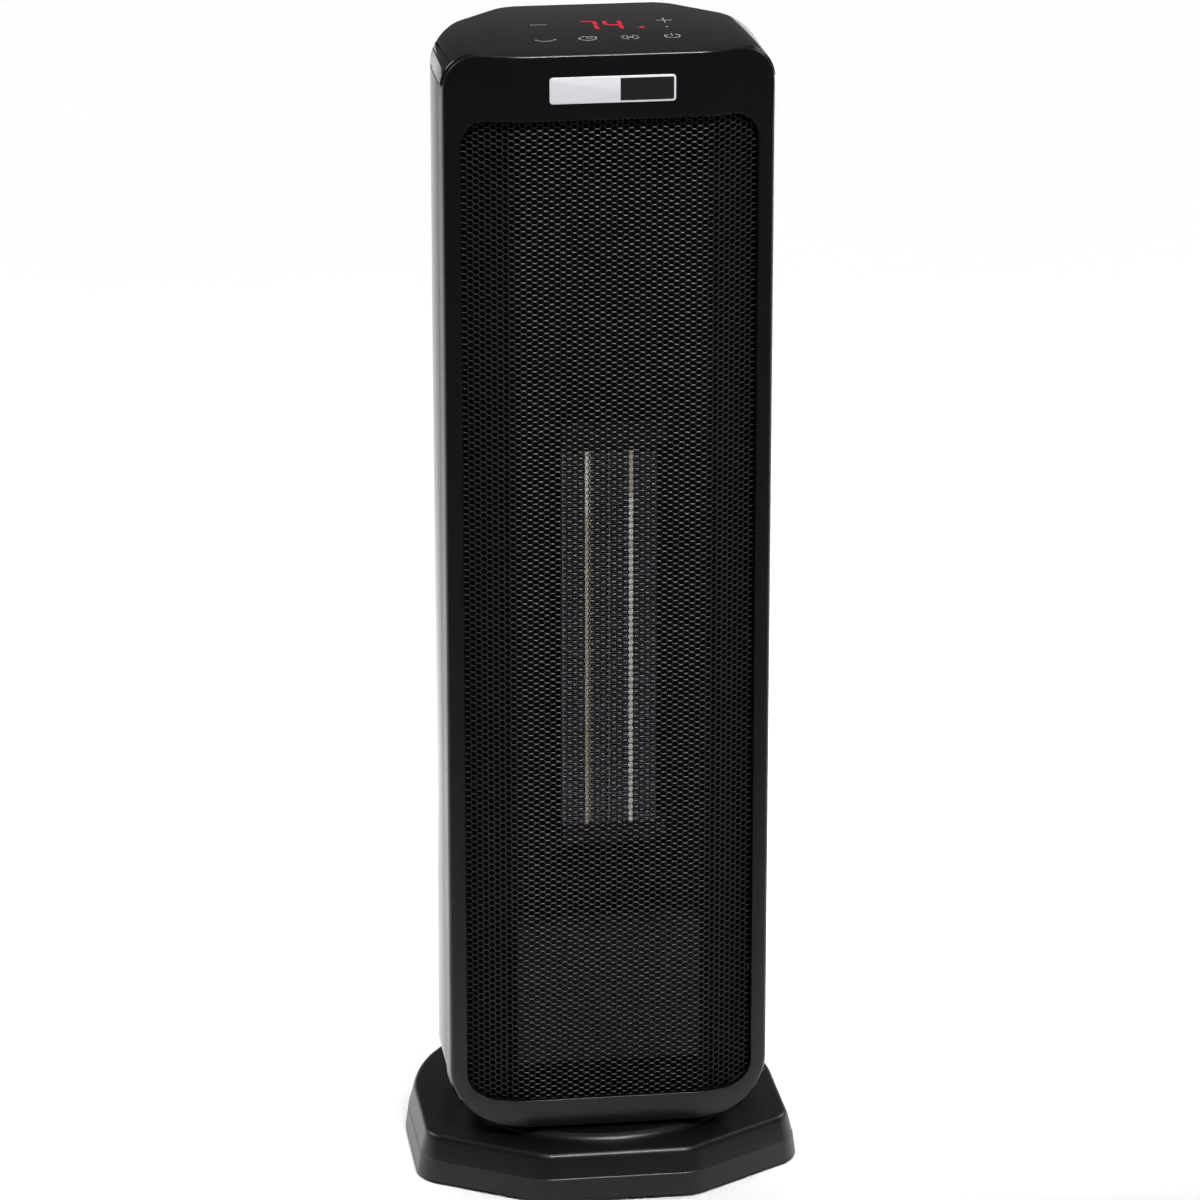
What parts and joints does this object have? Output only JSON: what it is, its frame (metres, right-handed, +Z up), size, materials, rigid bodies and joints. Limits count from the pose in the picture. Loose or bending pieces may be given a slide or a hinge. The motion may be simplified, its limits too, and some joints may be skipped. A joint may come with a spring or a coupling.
{
  "type": "tower heater",
  "caption": "Upright ceramic fan heater: a slim faceted tower with a pierced front grille that swings on a low eight-sided base.",
  "frame": {"origin": "on the floor, on the vertical axis that the tower swings about", "axes": "+X to the right as the heater is seen from the front, +Y to its back, +Z up; the front grille faces -Y"},
  "size_m": [0.195, 0.178, 0.584],
  "materials": {
    "satin_black": "satin black moulding with a very fine texture",
    "gloss_black": "polished black moulding",
    "grille_black": "pierced steel sheet, painted semi-gloss black",
    "moulded_black": "plain matt black moulding",
    "rubber_black": "matt rubber",
    "filter_grey": "fine dark mesh or flat cable sheath",
    "aluminium": "plain rolled strip",
    "ceramic": "unglazed cream ceramic",
    "resin_brown": "heat-proof dark resin",
    "board_green": "green circuit board",
    "steel": "bright zinc-plated steel",
    "gear_white": "natural white gear resin",
    "badge_silver": "smooth two-tone plate, left plain",
    "display_red": "dark red display block"
  },
  "bodies": {
    "base": {"base_cover": "satin_black", "base_plate": "moulded_black", "foot_front_left": "rubber_black", "foot_front_right": "rubber_black", "foot_rear_right": "rubber_black", "foot_rear_left": "rubber_black", "base_screw_1": "steel", "base_screw_2": "steel", "base_screw_3": "steel", "base_screw_4": "steel", "fixed_swing_gear": "gear_white", "glide_ring": "gear_white", "cord_gland": "rubber_black"},
    "tower": {"front_frame": "satin_black", "front_grille": "grille_black", "rear_housing": "gloss_black", "top_cover": "gloss_black", "badge_plate": "badge_silver", "intake_grille": "moulded_black", "dust_filter": "filter_grey", "frame_screw_1": "steel", "frame_screw_2": "steel", "frame_screw_3": "steel", "frame_screw_4": "steel", "swivel_foot": "moulded_black", "hub_retainer": "moulded_black", "retainer_screw_1": "steel", "retainer_screw_2": "steel", "retainer_screw_3": "steel", "swing_motor": "steel", "inner_chassis": "moulded_black", "chassis_screw_1": "steel", "chassis_screw_2": "steel", "chassis_screw_3": "steel", "chassis_screw_4": "steel", "heater_bottom_holder": "resin_brown", "heater_top_holder": "resin_brown", "heater_screw_1": "steel", "heater_screw_2": "steel", "heater_rail_left": "aluminium", "heater_rail_right": "aluminium", "heater_fins_left_outer": "aluminium", "heater_fins_left_inner": "aluminium", "heater_fins_right_inner": "aluminium", "heater_fins_right_outer": "aluminium", "ceramic_row_left": "ceramic", "ceramic_row_right": "ceramic", "heater_centre_bar": "aluminium", "thermal_cutout": "steel", "blower_housing": "moulded_black", "blower_bearing": "gear_white", "blower_motor": "steel", "power_box": "resin_brown", "power_board": "board_green", "tilt_switch": "steel", "touch_board": "board_green", "display_module": "display_red", "control_ribbon": "filter_grey"},
    "swing_drive": {"swing_pinion": "gear_white"},
    "impeller": {"blower_wheel": "moulded_black"}
  },
  "joints": [
    {"name": "swing", "type": "hinge", "parent": "base", "child": "tower", "pos_m": [0, 0, 0.03], "axis": [0, 0, 1], "range_deg": [-35, 35]},
    {"name": "pinion_spin", "type": "hinge", "parent": "tower", "child": "swing_drive", "pos_m": [0.0225, 0, 0.014], "axis": [0, 0, 1], "range_deg": [-70, 70]},
    {"name": "blower_spin", "type": "hinge", "parent": "tower", "child": "impeller", "pos_m": [0, 0.002, 0.286], "axis": [0, 0, 1], "continuous": true}
  ],
  "couplings": [
    {"joint": "pinion_spin", "follows": "swing", "ratio": 2}
  ]
}
